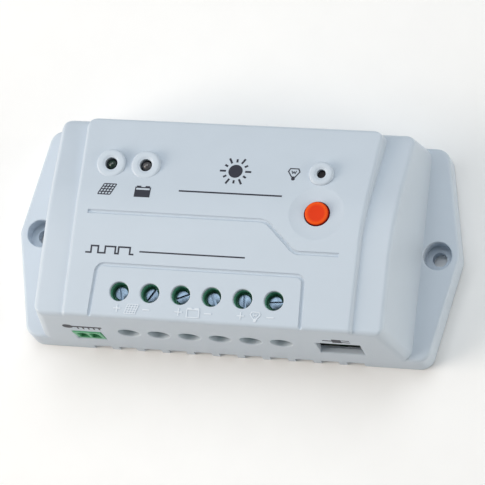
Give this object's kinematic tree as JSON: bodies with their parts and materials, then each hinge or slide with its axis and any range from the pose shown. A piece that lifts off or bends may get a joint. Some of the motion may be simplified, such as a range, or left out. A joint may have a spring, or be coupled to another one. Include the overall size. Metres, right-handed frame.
{
  "type": "solar charge controller",
  "caption": "Wall-mounted charge controller: stepped plastic cover with two ears, screw terminals, indicator lamps, push button and two sockets",
  "frame": {"origin": "centre of the mounting face", "axes": "X along the length through both mounting holes, -Y towards the wire entries, +Z away from the wall"},
  "size_m": [0.14, 0.0676, 0.034],
  "materials": {
    "housing": "fine satin moulded plastic, pale bluish grey",
    "base_metal": "plain rolled sheet",
    "steel": "zinc plated",
    "board": "green solder mask",
    "terminal_green": "semi-gloss moulded plastic",
    "tin_plate": "tin plated",
    "screw_nickel": "nickel plated, slightly worn",
    "clamp_nickel": "nickel plated",
    "lamp_green": "tinted clear resin",
    "lamp_grey": "milky clear resin",
    "lamp_dark": "dark tinted resin",
    "black_plastic": "moulded plastic",
    "button_orange": "satin moulded plastic",
    "contact_gold": "gold plated",
    "socket_green": "semi-gloss moulded plastic",
    "chip_black": "moulded epoxy",
    "thermal_pad": "soft pad",
    "capacitor_sleeve": "shrink sleeve",
    "shunt_alloy": "bare resistance alloy"
  },
  "bodies": {
    "root": {"top_cover": "housing", "base_plate": "base_metal", "case_screws": "steel", "circuit_board": "board", "terminal_block": "terminal_green", "terminal_bars": "tin_plate", "panel_lamp": "lamp_green", "battery_lamp": "lamp_grey", "load_lamp": "lamp_dark", "lamp_leads": "tin_plate", "lamp_spacers": "black_plastic", "switch_body": "black_plastic", "data_socket": "black_plastic", "data_contacts": "contact_gold", "sensor_socket": "socket_green", "sensor_pins": "tin_plate", "power_transistors": "chip_black", "transistor_leads": "tin_plate", "thermal_pad": "thermal_pad", "capacitors": "capacitor_sleeve", "capacitor_leads": "tin_plate", "microcontroller": "chip_black", "driver_chips": "chip_black", "surge_diode": "chip_black", "current_shunt": "shunt_alloy"},
    "button": {"button_cap": "button_orange", "switch_plunger": "black_plastic"},
    "screw_1": {"terminal_screw_1": "screw_nickel"},
    "screw_2": {"terminal_screw_2": "screw_nickel"},
    "screw_3": {"terminal_screw_3": "screw_nickel"},
    "screw_4": {"terminal_screw_4": "screw_nickel"},
    "screw_5": {"terminal_screw_5": "screw_nickel"},
    "screw_6": {"terminal_screw_6": "screw_nickel"},
    "clamp_1": {"wire_clamp_1": "clamp_nickel"},
    "clamp_2": {"wire_clamp_2": "clamp_nickel"},
    "clamp_3": {"wire_clamp_3": "clamp_nickel"},
    "clamp_4": {"wire_clamp_4": "clamp_nickel"},
    "clamp_5": {"wire_clamp_5": "clamp_nickel"},
    "clamp_6": {"wire_clamp_6": "clamp_nickel"}
  },
  "joints": [
    {"name": "button_press", "type": "slide", "parent": "root", "child": "button", "axis": [0, 0, -1], "range_m": [0, 0.0006], "stiffness_N_per_m": 400, "springref_m": -0.002},
    {"name": "screw_turn_1", "type": "hinge", "parent": "root", "child": "screw_1", "pos_m": [-0.02739, -0.0226, 0.03], "axis": [0, 0, -1], "range_deg": [0, 2160]},
    {"name": "screw_turn_2", "type": "hinge", "parent": "root", "child": "screw_2", "pos_m": [-0.01781, -0.0226, 0.03], "axis": [0, 0, -1], "range_deg": [0, 2160]},
    {"name": "screw_turn_3", "type": "hinge", "parent": "root", "child": "screw_3", "pos_m": [-0.00823, -0.0226, 0.03], "axis": [0, 0, -1], "range_deg": [0, 2160]},
    {"name": "screw_turn_4", "type": "hinge", "parent": "root", "child": "screw_4", "pos_m": [0.00135, -0.0226, 0.03], "axis": [0, 0, -1], "range_deg": [0, 2160]},
    {"name": "screw_turn_5", "type": "hinge", "parent": "root", "child": "screw_5", "pos_m": [0.01093, -0.0226, 0.03], "axis": [0, 0, -1], "range_deg": [0, 2160]},
    {"name": "screw_turn_6", "type": "hinge", "parent": "root", "child": "screw_6", "pos_m": [0.02051, -0.0226, 0.03], "axis": [0, 0, -1], "range_deg": [0, 2160]},
    {"name": "clamp_lift_1", "type": "slide", "parent": "root", "child": "clamp_1", "axis": [0, 0, 1], "range_m": [0, 0.0036]},
    {"name": "clamp_lift_2", "type": "slide", "parent": "root", "child": "clamp_2", "axis": [0, 0, 1], "range_m": [0, 0.0036]},
    {"name": "clamp_lift_3", "type": "slide", "parent": "root", "child": "clamp_3", "axis": [0, 0, 1], "range_m": [0, 0.0036]},
    {"name": "clamp_lift_4", "type": "slide", "parent": "root", "child": "clamp_4", "axis": [0, 0, 1], "range_m": [0, 0.0036]},
    {"name": "clamp_lift_5", "type": "slide", "parent": "root", "child": "clamp_5", "axis": [0, 0, 1], "range_m": [0, 0.0036]},
    {"name": "clamp_lift_6", "type": "slide", "parent": "root", "child": "clamp_6", "axis": [0, 0, 1], "range_m": [0, 0.0036]}
  ],
  "couplings": [
    {"joint": "screw_turn_1", "follows": "clamp_lift_1", "rad_per_m": 10472},
    {"joint": "screw_turn_2", "follows": "clamp_lift_2", "rad_per_m": 10472},
    {"joint": "screw_turn_3", "follows": "clamp_lift_3", "rad_per_m": 10472},
    {"joint": "screw_turn_4", "follows": "clamp_lift_4", "rad_per_m": 10472},
    {"joint": "screw_turn_5", "follows": "clamp_lift_5", "rad_per_m": 10472},
    {"joint": "screw_turn_6", "follows": "clamp_lift_6", "rad_per_m": 10472}
  ]
}
